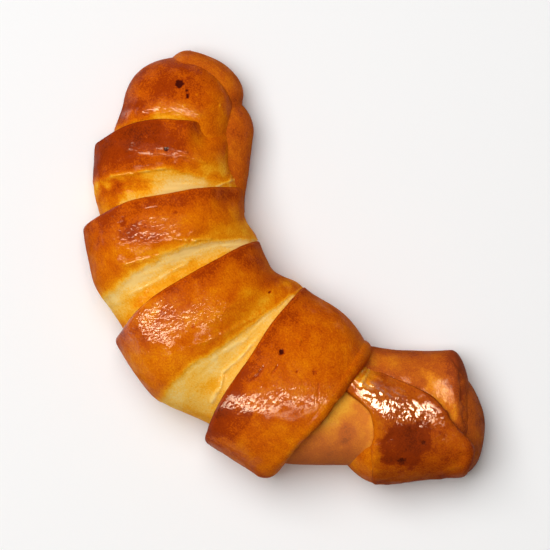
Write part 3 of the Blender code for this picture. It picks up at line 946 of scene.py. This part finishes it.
# Mottling, pores, wrinkles and most glaze of each finish.
FINISHES = {
    "glazed crust": (0.14, 0.5, 3.0, 1.0),
    "stretched dough": (0.1, 0.6, 0.5, 0.3),
    "thin wash": (0.14, 0.7, 3.0, 0.8),
}


# --- Settings ---
COLOUR_NAMES = ("cream", "straw", "gold", "amber", "orange_brown", "brown", "dark", "burnt")


def colour_setting(name, description, default):
    """A colour that the user can pick."""
    return FloatVectorProperty(name=name, description=description, subtype="COLOR", size=3,
                               min=0.0, max=1.0, default=default)


def power_setting(name, description, default):
    """A light's power in watts."""
    return FloatProperty(name=name, description=description, subtype="POWER", min=0.0,
                         default=default)


class CrescentCrust(bpy.types.PropertyGroup):
    """Colours of the crust from palest to burnt, and its glaze."""

    cream: colour_setting("Cream", "Dough stretched open last, barely browned", (0.95, 0.64, 0.2))
    straw: colour_setting("Straw", "Pale dough in the valleys", (0.95, 0.53, 0.08))
    gold: colour_setting("Gold", "Golden dough", (0.92, 0.39, 0.012))
    amber: colour_setting("Amber", "Lightly browned skin", (0.82, 0.245, 0.002))
    orange_brown: colour_setting("Orange brown", "Skin of a turn's slope", (0.7, 0.152, 0.001))
    brown: colour_setting("Brown", "Skin of a turn's crown", (0.57, 0.09, 0.001))
    dark: colour_setting("Dark", "Skin behind a lip", (0.35, 0.038, 0.001))
    burnt: colour_setting("Burnt", "Burnt specks", (0.07, 0.006, 0.002))
    glaze_roughness: FloatProperty(name="Glaze roughness", description="Of the clear egg wash",
                                   min=0.02, max=1.0, default=0.12)


class CrescentStage(bpy.types.PropertyGroup):
    """The light and floor."""

    softbox_power: power_setting("Softbox power", "Of the long overhead softbox", 19.5)
    near_power: power_setting("Near softbox power", "Of the one over the end", 3.2)
    fill_power: power_setting("Fill power", "Of the wide overhead fill", 30.0)
    glint_colour: colour_setting("Glint colour", "Of the long and the near softbox",
                                 (1.0, 0.82, 0.58))
    surround: FloatProperty(name="Surround", description="Brightness of the white surroundings",
                            min=0.0, default=0.1)
    floor: colour_setting("Floor", "The pale floor", (0.93, 0.93, 0.93))


# --- Stage ---
FRAME_PIXELS = 550
PIXEL = 0.35 * MM  # size of one pixel of the view at the roll
VIEW_TURN = math.radians(52.4)  # from +X of the roll to the view's right
TIP_PIXEL = (188.6, 55.3)  # where the centreline starts in the view
CAMERA_DISTANCE = 2.4
SENSOR = 36.0
LOOK_HEIGHT = 16 * MM
LAST_TURN_PIXEL = (392.0, 400.0)  # the middle of turn 5's crown in the view
LAST_TURN_HEIGHT = 35 * MM
FLOOR_HALF = 6.0
FLOOR_CORNERS = ((-1, -1), (1, -1), (1, 1), (-1, 1))

# A softbox leans from overhead towards the view's bottom and is swung towards its right, in
# degrees. Its distance and size are in metres.
Softbox = namedtuple("Softbox", "name lean swing distance width depth")
LONG_SOFTBOX = Softbox("long softbox", 28.0, -14.0, 1.0, 1.6, 0.15)
NEAR_SOFTBOX = Softbox("near softbox", -30.0, 8.0, 0.18, 0.14, 0.13)
WIDE_FILL = Softbox("wide fill", -12.0, -16.0, 1.6, 1.4, 1.4)


def view_axes():
    """The view's right and up directions on the resting plane."""
    c, s = math.cos(VIEW_TURN), math.sin(VIEW_TURN)
    return Vector((c, s, 0.0)), Vector((-s, c, 0.0))


def view_point(px, py, height=0.0):
    """The point at that height that the pixel shows, seen from straight above."""
    right, up = view_axes()
    tip = [np.interp(0.0, ALONG, PATH[:, i]) - MIDDLE[i] for i in range(2)]
    at = Vector((tip[0] * MM, tip[1] * MM, height))
    return at + right * (px - TIP_PIXEL[0]) * PIXEL - up * (py - TIP_PIXEL[1]) * PIXEL


def aim(made, place, target, up):
    """Stands an object at a place, with its -Z towards the target and its Y towards up."""
    back = (place - target).normalized()
    side = up.cross(back).normalized()
    turned = Matrix((side, back.cross(side), back)).transposed().to_4x4()
    turned.translation = place
    made.matrix_world = turned


def add_softbox(softbox, power, target=None):
    """A rectangular area light that faces the target, or else the middle of the roll."""
    right, up = view_axes()
    if target is None:
        target = view_point(FRAME_PIXELS / 2, FRAME_PIXELS / 2, LOOK_HEIGHT)
    tilt, turn = math.radians(softbox.lean), math.radians(softbox.swing)
    direction = -up * math.sin(tilt) + right * math.sin(turn) + Vector((0.0, 0.0, math.cos(tilt)))
    light = bpy.data.lights.new(softbox.name, "AREA")
    light.shape = "RECTANGLE"
    light.size = softbox.width
    light.size_y = softbox.depth
    light.energy = power
    made = new_object(softbox.name, light)
    aim(made, target + direction.normalized() * softbox.distance, target, up)
    made.visible_camera = False
    return made


def add_camera():
    """A long lens straight above the roll."""
    lens = bpy.data.cameras.new("camera")
    lens.sensor_width = SENSOR
    lens.lens = SENSOR * CAMERA_DISTANCE / (FRAME_PIXELS * PIXEL)
    lens.clip_start = 0.1
    lens.clip_end = 50.0
    made = new_object("camera", lens)
    target = view_point(FRAME_PIXELS / 2, FRAME_PIXELS / 2, LOOK_HEIGHT)
    aim(made, target + Vector((0.0, 0.0, CAMERA_DISTANCE)), target, view_axes()[1])
    bpy.context.scene.camera = made


def add_floor(colour):
    """A wide plain floor at the resting plane."""
    mesh = bpy.data.meshes.new("floor")
    corners = [(x * FLOOR_HALF, y * FLOOR_HALF, 0.0) for x, y in FLOOR_CORNERS]
    mesh.from_pydata(corners, [], [(0, 1, 2, 3)])
    material = bpy.data.materials.new("pale floor")
    material.use_nodes = True
    shader = material.node_tree.nodes["Principled BSDF"]
    shader.inputs["Base Color"].default_value = (*colour, 1.0)
    shader.inputs["Roughness"].default_value = 0.8
    mesh.materials.append(material)
    new_object("floor", mesh)


# --- Operators ---
class CRESCENT_OT_coil(bpy.types.Operator):
    """The coiled tip and the flank beside it, thinly glazed"""

    bl_idname = "crescent.coil"
    bl_label = "Coiled tip"

    def execute(self, context):
        return make_turns(("coil_tip", "coil_flank"), SIDE_GRID, "thin wash")


class CRESCENT_OT_turns(bpy.types.Operator):
    """The cap, the five glazed turns, each with a rolled lip, and the last turn's corner"""

    bl_idname = "crescent.turns"
    bl_label = "Glazed turns"

    def execute(self, context):
        names = ("cap", "turn_1", "turn_2", "turn_3", "turn_4", "turn_5")
        make_turns(names, MAIN_GRID, "glazed crust")
        return make_turns(("turn_5_corner",), SIDE_GRID, "glazed crust")


class CRESCENT_OT_bulge(bpy.types.Operator):
    """The pale dough that bulges out between the last two turns"""

    bl_idname = "crescent.bulge"
    bl_label = "Pale bulge"

    def execute(self, context):
        return make_turns(("bulge",), SIDE_GRID, "stretched dough")


class CRESCENT_OT_end(bpy.types.Operator):
    """The folded flap and the coil that close the other end"""

    bl_idname = "crescent.end"
    bl_label = "Folded end"

    def execute(self, context):
        return make_turns(("end_fold", "end_coil"), SIDE_GRID, "thin wash")


class CRESCENT_OT_stage(bpy.types.Operator):
    """The floor, the lights and the camera above the roll"""

    bl_idname = "crescent.stage"
    bl_label = "Stage"

    def execute(self, context):
        looks = context.scene.crescent_stage
        add_floor(looks.floor)
        strip = add_softbox(LONG_SOFTBOX, looks.softbox_power)
        last_turn = view_point(*LAST_TURN_PIXEL, LAST_TURN_HEIGHT)
        near = add_softbox(NEAR_SOFTBOX, looks.near_power, last_turn)
        for softbox in (strip, near):
            softbox.visible_diffuse = False  # they draw the glints, and the fill lights the dough
            softbox.data.color = looks.glint_colour
        end = bpy.data.collections.new("lit by the near softbox")
        for name in ("turn_5", "end_fold"):
            end.objects.link(bpy.data.objects[name])
        near.light_linking.receiver_collection = end
        fill = add_softbox(WIDE_FILL, looks.fill_power)
        fill.visible_glossy = False  # it lights the roll without a sheet of glare
        world = bpy.data.worlds.new("white surroundings")
        context.scene.world = world
        world.use_nodes = True
        background = world.node_tree.nodes["Background"]
        background.inputs["Color"].default_value = (1.0, 1.0, 1.0, 1.0)
        background.inputs["Strength"].default_value = looks.surround
        context.scene.view_settings.view_transform = "Standard"
        add_camera()
        return {"FINISHED"}


class CRESCENT_PT_panel(bpy.types.Panel):
    """Every step of building the roll"""

    bl_label = "Apple crescent roll"
    bl_idname = "CRESCENT_PT_panel"
    bl_space_type = "VIEW_3D"
    bl_region_type = "UI"
    bl_category = "Crescent"

    def draw(self, context):
        for operator in OPERATORS:
            self.layout.operator(operator.bl_idname)
        for name in CrescentCrust.__annotations__:
            self.layout.prop(context.scene.crescent_crust, name)
        for name in CrescentStage.__annotations__:
            self.layout.prop(context.scene.crescent_stage, name)


OPERATORS = (CRESCENT_OT_coil, CRESCENT_OT_turns, CRESCENT_OT_bulge, CRESCENT_OT_end,
             CRESCENT_OT_stage)
CLASSES = (CrescentCrust, CrescentStage, *OPERATORS, CRESCENT_PT_panel)


def register():
    for each in CLASSES:
        bpy.utils.register_class(each)
    bpy.types.Scene.crescent_crust = PointerProperty(type=CrescentCrust)
    bpy.types.Scene.crescent_stage = PointerProperty(type=CrescentStage)


def unregister():
    del bpy.types.Scene.crescent_stage
    del bpy.types.Scene.crescent_crust
    for each in reversed(CLASSES):
        bpy.utils.unregister_class(each)


def main():
    register()
    bpy.ops.crescent.coil()
    bpy.ops.crescent.turns()
    bpy.ops.crescent.bulge()
    bpy.ops.crescent.end()
    bpy.ops.crescent.stage()


if __name__ == "__main__":
    main()
